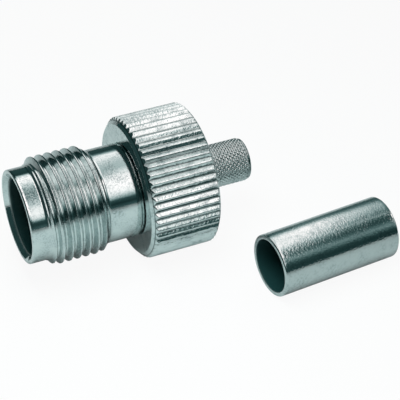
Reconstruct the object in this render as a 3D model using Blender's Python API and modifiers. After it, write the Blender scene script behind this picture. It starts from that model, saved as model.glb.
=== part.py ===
"""TNC jack that is crimped on to coaxial cable, lying on its knurled collar with its ferrule beside it."""
import math

import bmesh
import bpy
from mathutils import Matrix, Vector

MM = 0.001

# Nose and mouth. Depths run along the jack's axis, from its front rim towards the cable.
NOSE_D = 9.68 * MM
NOSE_LENGTH = 1.80 * MM
RIM_ROUND = 0.12 * MM
MOUTH_D = 8.92 * MM
MOUTH_LENGTH = 0.70 * MM
BORE_D = 8.13 * MM
BORE_DEPTH = 8.38 * MM

# Coupling thread, 7/16-28 UNEF
THREAD_D = 11.11 * MM
THREAD_LENGTH = 6.30 * MM
THREAD_PITCH = 0.907 * MM
THREAD_DEPTH = 0.545 * MM
THREAD_CREST = 0.113 * MM
THREAD_FLANK = math.radians(30)
# How far behind the thread's start a crest first passes over the top of the jack
THREAD_FIRST_CREST = 0.94 * MM

# Smooth barrel behind the thread, its relief groove and the spigot that the collar is pressed on to
BARREL_D = 9.70 * MM
BARREL_LENGTH = 3.32 * MM
BARREL_EDGE = 0.12 * MM
RELIEF_D = 9.00 * MM
RELIEF_WIDTH = 0.22 * MM
SPIGOT_LENGTH = 2.30 * MM
THROAT_D = 4.84 * MM
SHOULDER_LENGTH = 1.60 * MM
POCKET_D = 7.20 * MM

# Knurled collar
COLLAR_D = 14.80 * MM
COLLAR_LENGTH = 7.45 * MM
COLLAR_FACE_D = 13.54 * MM
COLLAR_FACE_CHAMFER = 0.55 * MM
COLLAR_BACK_D = 13.86 * MM
COLLAR_BACK_CHAMFER = 0.32 * MM
COLLAR_TEETH = 54
COLLAR_TOOTH_DEPTH = 0.31 * MM
COLLAR_TOOTH_LAND = 0.10 * MM
COLLAR_TOOTH_TURN = math.radians(4.0)

# Crimp stem with its diamond knurl, which grips the cable's braid
STEM_D = 4.56 * MM
STEM_LENGTH = 5.74 * MM
STEM_KNURL_DEPTH = 0.14 * MM
STEM_DIAMONDS = 30
STEM_FOOT_BAND = 0.50 * MM
STEM_END_BAND = 0.30 * MM
STEM_END_CHAMFER = 0.18 * MM
STEM_BORE_D = 3.10 * MM

# Insulators and the socket contact that they hold between them
NOSE_INSULATOR_DEPTH = 3.30 * MM
NOSE_INSULATOR_EDGE = 0.15 * MM
FRONT_FLANGE_LENGTH = 1.60 * MM
REAR_BOSS_D = 5.10 * MM
REAR_BOSS_LENGTH = 1.90 * MM
CHAMBER_CONE_LENGTH = 1.00 * MM
CONTACT_D = 2.06 * MM
CONTACT_RECESS = 0.15 * MM
PIN_BORE_D = 1.37 * MM
PIN_BORE_DEPTH = 4.50 * MM
PIN_LEAD_IN = 0.18 * MM
CONTACT_SLOT_WIDTH = 0.20 * MM
CONTACT_SLOT_LENGTH = 3.60 * MM
CONTACT_COLLAR_D = 3.00 * MM
CONTACT_COLLAR_LENGTH = 0.70 * MM
CONTACT_TAIL_D = 1.90 * MM
CONTACT_TAIL_LENGTH = 3.40 * MM
WIRE_BORE_D = 1.00 * MM
WIRE_BORE_DEPTH = 3.00 * MM

# Crimp ferrule, slid off the stem and lying beside the jack
FERRULE_D = 6.48 * MM
FERRULE_BORE_D = 5.50 * MM
FERRULE_LENGTH = 13.35 * MM
FERRULE_EDGE = 0.12 * MM
FERRULE_BEHIND_COLLAR = 2.80 * MM
FERRULE_BESIDE_COLLAR = 1.96 * MM
FERRULE_TURN = math.radians(4.5)

# Clearances between pieces that fit in each other, and between faces that seat on each other
FIT_GAP = 0.05 * MM
SEAT_GAP = 0.05 * MM

# Facets around each round piece
METAL_FACETS = 64
THREAD_FACETS = 32
INSULATOR_FACETS = 48
CONTACT_FACETS = 32
MERGE_DISTANCE = 0.0001 * MM

# Depths that follow from the lengths above
THREAD_START = NOSE_LENGTH
THREAD_END = THREAD_START + THREAD_LENGTH
BARREL_END = THREAD_END + BARREL_LENGTH
COLLAR_FACE = BARREL_END + RELIEF_WIDTH
SPIGOT_END = COLLAR_FACE + SPIGOT_LENGTH
SHOULDER_END = BORE_DEPTH + SHOULDER_LENGTH
COLLAR_BACK = COLLAR_FACE + COLLAR_LENGTH
STEM_END = COLLAR_BACK + STEM_LENGTH
FRONT_FLANGE_START = SHOULDER_END + SEAT_GAP
FRONT_FLANGE_END = FRONT_FLANGE_START + FRONT_FLANGE_LENGTH
REAR_FLANGE_START = FRONT_FLANGE_END + SEAT_GAP
REAR_FLANGE_END = SPIGOT_END
CHAMBER_STEP = SPIGOT_END + SEAT_GAP
REAR_BOSS_END = REAR_FLANGE_END + REAR_BOSS_LENGTH
CHAMBER_END = REAR_BOSS_END + SEAT_GAP
CONTACT_START = NOSE_INSULATOR_DEPTH + CONTACT_RECESS
CONTACT_COLLAR_END = FRONT_FLANGE_END
CONTACT_COLLAR_START = CONTACT_COLLAR_END - CONTACT_COLLAR_LENGTH
CONTACT_END = CONTACT_COLLAR_END + CONTACT_TAIL_LENGTH


def clear_scene():
    for old in list(bpy.data.objects):
        bpy.data.objects.remove(old, do_unlink=True)


def new_collection(name):
    collection = bpy.data.collections.new(name)
    bpy.context.scene.collection.children.link(collection)
    return collection


def metal_or_plastic(name, colour, metallic, roughness):
    material = bpy.data.materials.new(name)
    material.use_nodes = True
    shader = material.node_tree.nodes["Principled BSDF"]
    shader.inputs["Base Color"].default_value = (*colour, 1.0)
    shader.inputs["Metallic"].default_value = metallic
    shader.inputs["Roughness"].default_value = roughness
    return material


def new_object(name, mesh, collection, parent=None):
    made = bpy.data.objects.new(name, mesh)
    collection.objects.link(made)
    made.parent = parent
    return made


def rounded_corner(before, corner, after, radius, segments=2):
    """Points of the arc that rounds one corner of an outline."""
    towards_before = (before - corner).normalized()
    towards_after = (after - corner).normalized()
    half_angle = towards_before.angle(towards_after) / 2
    centre = corner + (towards_before + towards_after).normalized() * radius / math.sin(half_angle)
    reach = radius / math.tan(half_angle)
    start = corner + towards_before * reach - centre
    end = corner + towards_after * reach - centre
    turn = start.angle_signed(end)
    return [centre + Matrix.Rotation(-turn * step / segments, 2) @ start for step in range(segments + 1)]


def outline_points(corners):
    """Outline from (depth, radius) corners, each with an optional third value that rounds it."""
    places = [Vector(corner[:2]) for corner in corners]
    points = []
    for index, corner in enumerate(corners):
        if len(corner) == 3:
            after = places[(index + 1) % len(places)]
            points += rounded_corner(places[index - 1], places[index], after, corner[2])
        else:
            points.append(places[index])
    return points


def turned(name, corners, collection, parent, facets, closed=True):
    """Solid of revolution. Its outline runs down the outer side first, from the front to the cable end."""
    points = outline_points(corners)
    edges = [(index, index + 1) for index in range(len(points) - 1)]
    if closed:
        edges.append((len(points) - 1, 0))
    mesh = bpy.data.meshes.new(name)
    mesh.from_pydata([(radius, 0, -depth) for depth, radius in points], edges, [])
    made = new_object(name, mesh, collection, parent)
    screw = made.modifiers.new("turn", "SCREW")
    screw.axis = "Z"
    screw.angle = 2 * math.pi
    screw.steps = facets
    screw.render_steps = facets
    screw.use_merge_vertices = True
    screw.merge_threshold = MERGE_DISTANCE
    screw.use_smooth_shade = True
    return made


def as_cutter(made):
    made.hide_render = True
    made.display_type = "WIRE"
    return made


def combine(target, operand, operation):
    boolean = target.modifiers.new(operand.name, "BOOLEAN")
    boolean.operation = operation
    boolean.solver = "EXACT"
    boolean.object = as_cutter(operand)


def baked(made):
    """Swap an object's mesh for the one its modifiers make."""
    depsgraph = bpy.context.evaluated_depsgraph_get()
    mesh = bpy.data.meshes.new_from_object(made.evaluated_get(depsgraph))
    made.modifiers.clear()
    made.data = mesh
    return made


def thread_groove(cutters, axis):
    """Right-handed helical groove as a cutter. It winds from behind the thread to ahead of it."""
    slope = math.tan(THREAD_FLANK)
    # The cutter stands out past the crests, but stops short of where its neighbouring turns would meet
    overrun = THREAD_CREST / 4 / slope
    top_radius = THREAD_D / 2 + overrun
    top_half = (THREAD_PITCH - THREAD_CREST) / 2 + overrun * slope
    root_radius = THREAD_D / 2 - THREAD_DEPTH
    root_half = top_half - (top_radius - root_radius) * slope
    turns_behind = math.ceil((THREAD_LENGTH - THREAD_FIRST_CREST) / THREAD_PITCH)
    turns_ahead = math.ceil(THREAD_FIRST_CREST / THREAD_PITCH) + 1
    last_depth = THREAD_START + THREAD_FIRST_CREST + (turns_behind + 0.5) * THREAD_PITCH
    profile = [
        (top_radius, top_half),
        (top_radius, -top_half),
        (root_radius, -root_half),
        (root_radius, root_half),
    ]
    mesh = bpy.data.meshes.new("thread_groove")
    corners = [(radius, 0, ahead - last_depth) for radius, ahead in profile]
    mesh.from_pydata(corners, [(0, 1), (1, 2), (2, 3), (3, 0)], [])
    groove = new_object("thread_groove", mesh, cutters, axis)
    # Turned a little, so that its facets' corners and the shell's lie apart
    groove.rotation_euler.z = math.pi / METAL_FACETS / 2
    screw = groove.modifiers.new("wind", "SCREW")
    screw.axis = "Z"
    screw.angle = 2 * math.pi
    screw.screw_offset = THREAD_PITCH
    screw.iterations = turns_behind + turns_ahead
    screw.steps = THREAD_FACETS
    screw.render_steps = THREAD_FACETS
    bpy.context.view_layer.update()
    baked(groove)
    ends = bmesh.new()
    ends.from_mesh(groove.data)
    bmesh.ops.holes_fill(ends, edges=ends.edges, sides=len(profile))
    bmesh.ops.recalc_face_normals(ends, faces=ends.faces)
    ends.to_mesh(groove.data)
    ends.free()
    return groove


def threaded_shell(parts, cutters, axis):
    thread_rise = (THREAD_D - NOSE_D) / 2
    runout_rise = (THREAD_D - BARREL_D) / 2
    shell = turned("threaded_shell", [
        (0, MOUTH_D / 2),
        (0, NOSE_D / 2, RIM_ROUND),
        (THREAD_START, NOSE_D / 2),
        (THREAD_START + thread_rise, THREAD_D / 2),
        (THREAD_END - runout_rise, THREAD_D / 2),
        (THREAD_END, BARREL_D / 2),
        (BARREL_END - BARREL_EDGE, BARREL_D / 2),
        (BARREL_END, BARREL_D / 2 - BARREL_EDGE),
        (BARREL_END, RELIEF_D / 2),
        (SPIGOT_END, RELIEF_D / 2),
        (SPIGOT_END, POCKET_D / 2),
        (SHOULDER_END, POCKET_D / 2),
        (SHOULDER_END, THROAT_D / 2),
        (BORE_DEPTH, THROAT_D / 2),
        (BORE_DEPTH, BORE_D / 2),
        (MOUTH_LENGTH, BORE_D / 2),
    ], parts, axis, METAL_FACETS)
    combine(shell, thread_groove(cutters, axis), "DIFFERENCE")
    return shell


def collar_grooves(cutters, axis):
    """V grooves round the collar, as one cutter. Between two of them a narrow land stays as the tooth's tip."""
    half_pitch = math.pi / COLLAR_TEETH
    tip_radius = COLLAR_D / 2
    foot_radius = tip_radius - COLLAR_TOOTH_DEPTH
    slope = (tip_radius * math.tan(half_pitch) - COLLAR_TOOTH_LAND / 2) / COLLAR_TOOTH_DEPTH
    # Past this radius neighbouring grooves would run into each other
    meeting_radius = foot_radius * slope / (slope - math.tan(half_pitch))
    top_radius = (tip_radius + meeting_radius) / 2
    half_width = (top_radius - foot_radius) * slope
    overrun = COLLAR_BACK_CHAMFER
    groove = [(foot_radius, 0), (top_radius, -half_width), (top_radius, half_width)]
    shape = bmesh.new()
    for tooth in range(COLLAR_TEETH):
        turn = Matrix.Rotation(2 * half_pitch * tooth - COLLAR_TOOTH_TURN, 4, "Z")
        front = [shape.verts.new(turn @ Vector((x, y, overrun - COLLAR_FACE))) for x, y in groove]
        back = [shape.verts.new(turn @ Vector((x, y, -overrun - COLLAR_BACK))) for x, y in groove]
        shape.faces.new(reversed(front))
        shape.faces.new(back)
        for side in range(3):
            other = (side + 1) % 3
            shape.faces.new([front[side], front[other], back[other], back[side]])
    bmesh.ops.recalc_face_normals(shape, faces=shape.faces)
    mesh = bpy.data.meshes.new("collar_grooves")
    shape.to_mesh(mesh)
    shape.free()
    return new_object("collar_grooves", mesh, cutters, axis)


def raise_diamonds(stem, first_depth, row_length, rows):
    """Lift every other point of the stem's grid, so that each one tops a small pyramid."""
    columns = 2 * STEM_DIAMONDS
    lift = STEM_D / (STEM_D - 2 * STEM_KNURL_DEPTH)
    grid = bmesh.new()
    grid.from_mesh(stem.data)
    raised = set()
    knurled = set()
    for vert in grid.verts:
        row = round((-vert.co.z - first_depth) / row_length)
        if not 0 <= row <= rows or vert.co.xy.length < STEM_BORE_D / 2:
            continue
        knurled.add(vert)
        column = round(math.atan2(vert.co.y, vert.co.x) / (2 * math.pi) * columns)
        if 0 < row < rows and (row + column) % 2:
            vert.co.x *= lift
            vert.co.y *= lift
            raised.add(vert)
    for face in [face for face in grid.faces if len(face.verts) == 4 and knurled.issuperset(face.verts)]:
        corners = list(face.verts)
        first = 0 if raised.isdisjoint((corners[0], corners[2])) else 1
        bmesh.utils.face_split(face, corners[first], corners[first + 2])
    grid.to_mesh(stem.data)
    grid.free()


def crimp_stem(cutters, axis):
    """Stem with its diamond knurl. It reaches into the collar, which it is joined to."""
    band_radius = STEM_D / 2 - STEM_KNURL_DEPTH
    first_depth = COLLAR_BACK + STEM_FOOT_BAND
    last_depth = STEM_END - STEM_END_BAND
    diamond_width = math.pi * STEM_D / STEM_DIAMONDS
    rows = 2 * round((last_depth - first_depth) / diamond_width)
    row_length = (last_depth - first_depth) / rows
    root = COLLAR_BACK - COLLAR_BACK_CHAMFER
    corners = [(root, 0), (root, band_radius)]
    corners += [(first_depth + row * row_length, band_radius) for row in range(rows + 1)]
    corners += [
        (STEM_END - STEM_END_CHAMFER, band_radius),
        (STEM_END, band_radius - STEM_END_CHAMFER),
        (STEM_END, 0),
    ]
    stem = turned("crimp_stem", corners, cutters, axis, 2 * STEM_DIAMONDS, closed=False)
    bpy.context.view_layer.update()
    baked(stem)
    raise_diamonds(stem, first_depth, row_length, rows)
    return stem


def rear_body_bore(cutters, axis):
    """Everything that is bored out of the collar and the stem, from the spigot's socket to the cable end."""
    overrun = COLLAR_BACK_CHAMFER
    return turned("rear_body_bore", [
        (COLLAR_FACE - overrun, 0),
        (COLLAR_FACE - overrun, RELIEF_D / 2 + FIT_GAP),
        (CHAMBER_STEP, RELIEF_D / 2 + FIT_GAP),
        (CHAMBER_STEP, REAR_BOSS_D / 2 + FIT_GAP),
        (CHAMBER_END, REAR_BOSS_D / 2 + FIT_GAP),
        (CHAMBER_END + CHAMBER_CONE_LENGTH, STEM_BORE_D / 2),
        (STEM_END + overrun, STEM_BORE_D / 2),
        (STEM_END + overrun, 0),
    ], cutters, axis, METAL_FACETS, closed=False)


def rear_body(parts, cutters, axis):
    # Each tooth's tip lies on the middle of a facet, so the facets' corners stand a little further out
    corner_out = 1 / math.cos(math.pi / COLLAR_TEETH)
    tip_radius = COLLAR_D / 2 * corner_out
    face_radius = COLLAR_FACE_D / 2 * corner_out
    back_radius = COLLAR_BACK_D / 2 * corner_out
    body = turned("rear_body", [
        (COLLAR_FACE, 0),
        (COLLAR_FACE, face_radius),
        (COLLAR_FACE + COLLAR_FACE_CHAMFER, tip_radius),
        (COLLAR_BACK - COLLAR_BACK_CHAMFER, tip_radius),
        (COLLAR_BACK, back_radius),
        (COLLAR_BACK, 0),
    ], parts, axis, COLLAR_TEETH, closed=False)
    body.rotation_euler.z = -COLLAR_TOOTH_TURN
    combine(body, collar_grooves(cutters, axis), "DIFFERENCE")
    combine(body, crimp_stem(cutters, axis), "UNION")
    combine(body, rear_body_bore(cutters, axis), "DIFFERENCE")
    return body


def front_insulator(parts, axis):
    nose_radius = THROAT_D / 2 - FIT_GAP
    flange_radius = POCKET_D / 2 - FIT_GAP
    hole_radius = CONTACT_D / 2 + FIT_GAP
    seat_radius = CONTACT_COLLAR_D / 2 + FIT_GAP
    return turned("front_insulator", [
        (NOSE_INSULATOR_DEPTH, hole_radius),
        (NOSE_INSULATOR_DEPTH, nose_radius, NOSE_INSULATOR_EDGE),
        (FRONT_FLANGE_START, nose_radius),
        (FRONT_FLANGE_START, flange_radius),
        (FRONT_FLANGE_END, flange_radius),
        (FRONT_FLANGE_END, seat_radius),
        (CONTACT_COLLAR_START - SEAT_GAP, seat_radius),
        (CONTACT_COLLAR_START - SEAT_GAP, hole_radius),
    ], parts, axis, INSULATOR_FACETS)


def rear_insulator(parts, axis):
    flange_radius = POCKET_D / 2 - FIT_GAP
    hole_radius = CONTACT_TAIL_D / 2 + FIT_GAP
    return turned("rear_insulator", [
        (REAR_FLANGE_START, hole_radius),
        (REAR_FLANGE_START, flange_radius),
        (REAR_FLANGE_END, flange_radius),
        (REAR_FLANGE_END, REAR_BOSS_D / 2),
        (REAR_BOSS_END, REAR_BOSS_D / 2),
        (REAR_BOSS_END, hole_radius),
    ], parts, axis, INSULATOR_FACETS)


def contact_slots(cutters, axis):
    """Two crossed saw cuts that part the socket into four fingers."""
    overrun = CONTACT_SLOT_WIDTH
    length = CONTACT_SLOT_LENGTH + overrun
    middle = Matrix.Translation((0, 0, length / 2 - CONTACT_START - CONTACT_SLOT_LENGTH))
    made = []
    for turn, name in ((0, "slot_upright"), (math.pi / 2, "slot_level")):
        size = Matrix.Diagonal((2 * CONTACT_D, CONTACT_SLOT_WIDTH, length, 1))
        shape = bmesh.new()
        bmesh.ops.create_cube(shape, size=1, matrix=Matrix.Rotation(turn, 4, "Z") @ middle @ size)
        mesh = bpy.data.meshes.new(name)
        shape.to_mesh(mesh)
        shape.free()
        made.append(new_object(name, mesh, cutters, axis))
    return made


def socket_contact(parts, cutters, axis):
    contact = turned("socket_contact", [
        (CONTACT_START + PIN_BORE_DEPTH, 0),
        (CONTACT_START + PIN_BORE_DEPTH, PIN_BORE_D / 2),
        (CONTACT_START + PIN_LEAD_IN, PIN_BORE_D / 2),
        (CONTACT_START, PIN_BORE_D / 2 + PIN_LEAD_IN),
        (CONTACT_START, CONTACT_D / 2),
        (CONTACT_COLLAR_START, CONTACT_D / 2),
        (CONTACT_COLLAR_START, CONTACT_COLLAR_D / 2),
        (CONTACT_COLLAR_END, CONTACT_COLLAR_D / 2),
        (CONTACT_COLLAR_END, CONTACT_TAIL_D / 2),
        (CONTACT_END, CONTACT_TAIL_D / 2),
        (CONTACT_END, WIRE_BORE_D / 2),
        (CONTACT_END - WIRE_BORE_DEPTH, WIRE_BORE_D / 2),
        (CONTACT_END - WIRE_BORE_DEPTH, 0),
    ], parts, axis, CONTACT_FACETS, closed=False)
    for slot in contact_slots(cutters, axis):
        combine(contact, slot, "DIFFERENCE")
    return contact


def crimp_ferrule(parts, axis):
    return turned("crimp_ferrule", [
        (0, FERRULE_BORE_D / 2, FERRULE_EDGE),
        (0, FERRULE_D / 2, FERRULE_EDGE),
        (FERRULE_LENGTH, FERRULE_D / 2, FERRULE_EDGE),
        (FERRULE_LENGTH, FERRULE_BORE_D / 2, FERRULE_EDGE),
    ], parts, axis, METAL_FACETS)


def lying_axis(name, collection, parent, turn):
    """Empty that lays a turned piece on its side, its front end towards -X before the turn."""
    axis = bpy.data.objects.new(name, None)
    axis.empty_display_size = COLLAR_D
    collection.objects.link(axis)
    axis.parent = parent
    axis.rotation_euler = (Matrix.Rotation(turn, 3, "Z") @ Matrix.Rotation(-math.pi / 2, 3, "Y")).to_euler()
    return axis


def bounds(pieces):
    """Lowest and highest corner of the box round some pieces, as they stand in the scene."""
    depsgraph = bpy.context.evaluated_depsgraph_get()
    places = []
    for piece in pieces:
        shape = piece.evaluated_get(depsgraph)
        places += [shape.matrix_world @ vert.co for vert in shape.data.vertices]
    low = Vector([min(place[side] for place in places) for side in range(3)])
    high = Vector([max(place[side] for place in places) for side in range(3)])
    return low, high


def rest_on_floor(layout, groups):
    """Lay each group on the floor, then centre them all over the origin."""
    for axis, pieces in groups:
        axis.location.z -= bounds(pieces)[0].z
    bpy.context.view_layer.update()
    low, high = bounds([piece for axis, pieces in groups for piece in pieces])
    layout.location.x = -(low.x + high.x) / 2
    layout.location.y = -(low.y + high.y) / 2
    bpy.context.view_layer.update()


def main():
    clear_scene()
    parts = new_collection("tnc_connector")
    cutters = new_collection("cutters")
    layout = bpy.data.objects.new("layout", None)
    parts.objects.link(layout)
    jack_axis = lying_axis("jack_axis", parts, layout, 0)
    ferrule_axis = lying_axis("ferrule_axis", parts, layout, FERRULE_TURN)
    ferrule_axis.location.x = COLLAR_BACK + FERRULE_BEHIND_COLLAR
    ferrule_axis.location.y = -(COLLAR_D / 2 + FERRULE_BESIDE_COLLAR + FERRULE_D / 2)

    shell = threaded_shell(parts, cutters, jack_axis)
    shell.data.materials.append(metal_or_plastic("shell_nickel", (0.56, 0.58, 0.58), 1.0, 0.20))
    body = rear_body(parts, cutters, jack_axis)
    body.data.materials.append(metal_or_plastic("body_nickel", (0.55, 0.57, 0.57), 1.0, 0.24))
    front = front_insulator(parts, jack_axis)
    front.data.materials.append(metal_or_plastic("front_ptfe", (0.86, 0.86, 0.84), 0.0, 0.45))
    rear = rear_insulator(parts, jack_axis)
    rear.data.materials.append(metal_or_plastic("rear_ptfe", (0.84, 0.84, 0.82), 0.0, 0.45))
    contact = socket_contact(parts, cutters, jack_axis)
    contact.data.materials.append(metal_or_plastic("contact_gold", (0.85, 0.62, 0.25), 1.0, 0.20))
    ferrule = crimp_ferrule(parts, ferrule_axis)
    ferrule.data.materials.append(metal_or_plastic("ferrule_nickel", (0.57, 0.58, 0.57), 1.0, 0.26))

    bpy.context.view_layer.update()
    rest_on_floor(layout, [(jack_axis, [shell, body, front, rear, contact]), (ferrule_axis, [ferrule])])


main()
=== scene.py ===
"""Looks of a threaded coaxial jack that lies on its knurled collar, with its crimp ferrule beside it."""
import math

import bmesh
import bpy
import numpy as np
from bpy.props import FloatProperty, FloatVectorProperty, IntProperty, PointerProperty
from mathutils import Matrix, Vector


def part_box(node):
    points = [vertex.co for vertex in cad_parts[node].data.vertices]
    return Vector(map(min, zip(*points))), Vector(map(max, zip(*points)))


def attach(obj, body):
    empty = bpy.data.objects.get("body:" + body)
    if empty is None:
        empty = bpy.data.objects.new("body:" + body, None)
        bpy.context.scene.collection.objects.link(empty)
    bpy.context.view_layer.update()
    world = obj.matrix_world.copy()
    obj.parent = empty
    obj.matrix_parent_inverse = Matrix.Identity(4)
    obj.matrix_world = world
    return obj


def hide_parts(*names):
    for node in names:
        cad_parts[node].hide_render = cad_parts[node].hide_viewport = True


bl_info = {
    "name": "Threaded coaxial jack",
    "version": (1, 0, 0),
    "blender": (4, 5, 0),
    "location": "3D View > Sidebar > Jack",
    "description": "Builds the jack's shell, collar, stem, inside and ferrule, and the studio around them",
    "category": "Object",
}

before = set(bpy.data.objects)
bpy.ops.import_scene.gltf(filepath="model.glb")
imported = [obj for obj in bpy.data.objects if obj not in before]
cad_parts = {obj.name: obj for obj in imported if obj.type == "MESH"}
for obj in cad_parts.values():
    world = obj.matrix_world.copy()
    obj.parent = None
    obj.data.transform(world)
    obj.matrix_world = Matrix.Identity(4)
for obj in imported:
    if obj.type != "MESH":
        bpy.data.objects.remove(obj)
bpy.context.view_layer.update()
MM = 0.001

SHELL_LOW, SHELL_HIGH = (Vector(corner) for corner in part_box("threaded_shell"))
FERRULE_LOW, FERRULE_HIGH = (Vector(corner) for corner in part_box("crimp_ferrule"))
# The jack is modelled with its front rim at the origin and its axis along +X, then set in its place
JACK_PLACE = Matrix.Translation((SHELL_LOW.x, (SHELL_LOW.y + SHELL_HIGH.y) / 2, (SHELL_LOW.z + SHELL_HIGH.z) / 2))
RIM = JACK_PLACE.translation

# Depths behind the front rim that the solids fix
MOUTH_END = 0.70 * MM
INSULATOR_FACE = 3.30 * MM
CONTACT_START = 3.45 * MM
REFERENCE_PLANE = 8.38 * MM
SHOULDER_END = 9.98 * MM
FRONT_FLANGE_START = 10.03 * MM
CONTACT_HOLE_STEP = 10.88 * MM
CONTACT_COLLAR_START = 10.93 * MM
BARREL_END = 11.42 * MM
FRONT_FLANGE_END = 11.63 * MM
COLLAR_FACE = 11.64 * MM
REAR_FLANGE_START = 11.68 * MM
WIRE_HOLE_END = 12.03 * MM
SPIGOT_END = 13.94 * MM
CHAMBER_STEP = 13.99 * MM
CONTACT_END = 15.03 * MM
REAR_BOSS_END = 15.84 * MM
CHAMBER_END = 15.90 * MM
CHAMBER_CONE_END = 17.00 * MM
COLLAR_BACK = 19.09 * MM
STEM_END = 24.83 * MM

# Radii that the solids fix
SPIGOT_RADIUS = 4.50 * MM
COLLAR_HOLE_RADIUS = 4.55 * MM
POCKET_RADIUS = 3.60 * MM
FLANGE_RADIUS = 3.55 * MM
CHAMBER_RADIUS = 2.60 * MM
BOSS_RADIUS = 2.55 * MM
THROAT_RADIUS = 2.42 * MM
INSULATOR_RADIUS = 2.37 * MM
CABLE_HOLE_RADIUS = 1.80 * MM
CONTACT_COLLAR_HOLE_RADIUS = 1.55 * MM
CONTACT_COLLAR_RADIUS = 1.50 * MM
CONTACT_HOLE_RADIUS = 1.08 * MM
CONTACT_RADIUS = 1.03 * MM
TAIL_HOLE_RADIUS = 1.00 * MM
TAIL_RADIUS = 0.95 * MM
PIN_HOLE_RADIUS = 0.685 * MM
WIRE_HOLE_RADIUS = 0.50 * MM


def size(name, description, millimetres):
    return FloatProperty(name=name, description=description, default=millimetres * MM,
                         unit="LENGTH", subtype="DISTANCE", precision=5)


def linear(hex_colour):
    """Linear colour of an sRGB hex value such as #C0CACB."""
    parts = [int(hex_colour[start:start + 2], 16) / 255 for start in (1, 3, 5)]
    return [part / 12.92 if part <= 0.04045 else ((part + 0.055) / 1.055) ** 2.4 for part in parts]


def colour(name, description, hex_colour):
    return FloatVectorProperty(name=name, description=description, default=linear(hex_colour),
                               subtype="COLOR", min=0, max=1)


class ShellSizes(bpy.types.PropertyGroup):
    nose: size("Nose", "Diameter of the smooth nose ahead of the thread", 9.68)
    bore: size("Bore", "Diameter of the bore that takes the plug", 8.13)
    mouth: size("Mouth", "Diameter of the step at the bore's mouth", 8.92)
    barrel: size("Barrel", "Diameter of the smooth barrel behind the thread", 9.70)
    thread_start: size("Thread start", "Depth of the thread's first turn behind the rim", 1.80)
    thread_end: size("Thread end", "Depth at which the thread has run out", 8.10)
    thread: size("Thread", "Diameter over the thread's crests", 11.11)
    pitch: size("Pitch", "Distance between two turns of the thread", 0.907)
    thread_depth: size("Thread depth", "Height of the thread's crests over its roots", 0.545)
    crest: size("Crest", "Width of the flat that tops each turn", 0.113)
    first_crest: size("First crest", "Depth at which a crest passes over the top of the jack", 2.74)


class CollarSizes(bpy.types.PropertyGroup):
    outside: size("Collar", "Diameter over the tips of the collar's teeth", 14.80)
    face: size("Front face", "Diameter of the collar's flat front face", 13.54)
    face_chamfer: size("Front chamfer", "Length of the chamfer behind the front face", 0.55)
    back: size("Back face", "Diameter of the collar's back face", 13.86)
    back_chamfer: size("Back chamfer", "Length of the chamfer ahead of the back face", 0.32)
    teeth: IntProperty(name="Teeth", description="Teeth of the straight knurl", default=54, min=12, max=90)
    tooth_depth: size("Tooth depth", "Depth of the knurl's V grooves", 0.31)
    land: size("Tooth land", "Width of the flat that tops each tooth", 0.10)
    turn: FloatProperty(name="Turn", description="Angle of the first groove from the top",
                        default=math.radians(4.0), subtype="ANGLE")
    wobble: FloatProperty(name="Wobble", description="How far a groove wanders, as a share of the tooth pitch",
                          default=0.06, subtype="FACTOR")


class StemSizes(bpy.types.PropertyGroup):
    outside: size("Stem", "Diameter over the tips of the stem's diamonds", 4.56)
    bore: size("Stem bore", "Diameter of the hole for the cable's insulation", 3.10)
    diamond_depth: size("Diamond depth", "Height of the diamonds over their grooves", 0.11)
    diamonds: IntProperty(name="Diamonds", description="Diamonds in one ring round the stem",
                          default=30, min=12, max=60)
    foot_band: size("Foot band", "Smooth length between the collar and the knurl", 0.50)
    end_band: size("End band", "Smooth length at the stem's open end", 0.30)
    end_chamfer: size("End chamfer", "Size of the chamfer round the stem's end", 0.18)


class FerruleSizes(bpy.types.PropertyGroup):
    outside: size("Ferrule", "Outside diameter of the tube", 6.48)
    bore: size("Ferrule bore", "Inside diameter of the tube", 5.50)
    length: size("Ferrule length", "Length of the tube", 13.35)
    edge: size("Ferrule edge", "Radius of the rounded ends", 0.16)
    turn: FloatProperty(name="Turn", description="Angle between the ferrule and the jack's axis",
                        default=math.radians(4.5), subtype="ANGLE")


class FinishColours(bpy.types.PropertyGroup):
    nickel: colour("Nickel", "Bright nickel plating", "#C8D4D3")
    ferrule: colour("Ferrule", "Thin nickel over the drawn tube", "#BCC8C7")
    stain: colour("Stain", "Specks and dull patches in the nickel", "#7B8F90")
    # Painted shade: a dark teal that darkens the walls of the holes and the valleys of the knurls
    painted_shade: colour("Oxide", "Dull oxide inside the holes and in the knurls' valleys", "#1B3C3C")
    gold: colour("Gold", "Plating of the socket contact", "#E3BF6E")
    ptfe: colour("PTFE", "Insulators", "#EEEEE8")
    floor: colour("Floor", "Studio floor and background", "#AEBBBB")


def rounded(before, corner, after, radius, segments):
    """Points of the arc that rounds one corner of an outline."""
    towards_before = (before - corner).normalized()
    towards_after = (after - corner).normalized()
    half_angle = towards_before.angle(towards_after) / 2
    centre = corner + (towards_before + towards_after).normalized() * radius / math.sin(half_angle)
    reach = radius / math.tan(half_angle)
    start = corner + towards_before * reach - centre
    turn = start.angle_signed(corner + towards_after * reach - centre)
    return [centre + Matrix.Rotation(-turn * step / segments, 2) @ start for step in range(segments + 1)]


def outline_points(corners, spacing, segments=4):
    """Closed outline from (depth, radius) corners, each with an optional rounding, cut into steps of the spacing.

    The spacing is one length, or a function that gives it for the edge between two points.
    """
    places = [Vector(corner[:2]) for corner in corners]
    bends = []
    for index, corner in enumerate(corners):
        if len(corner) == 3:
            after = places[(index + 1) % len(places)]
            bends += rounded(places[index - 1], places[index], after, corner[2], segments)
        else:
            bends.append(places[index])
    points = []
    for index, here in enumerate(bends):
        there = bends[(index + 1) % len(bends)]
        if here.y == 0 and there.y == 0:
            points.append(here)
            continue
        step_length = spacing(here, there) if callable(spacing) else spacing
        steps = max(1, math.ceil((there - here).length / step_length - 1e-6))
        points += [here.lerp(there, step / steps) for step in range(steps)]
    return points


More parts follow.
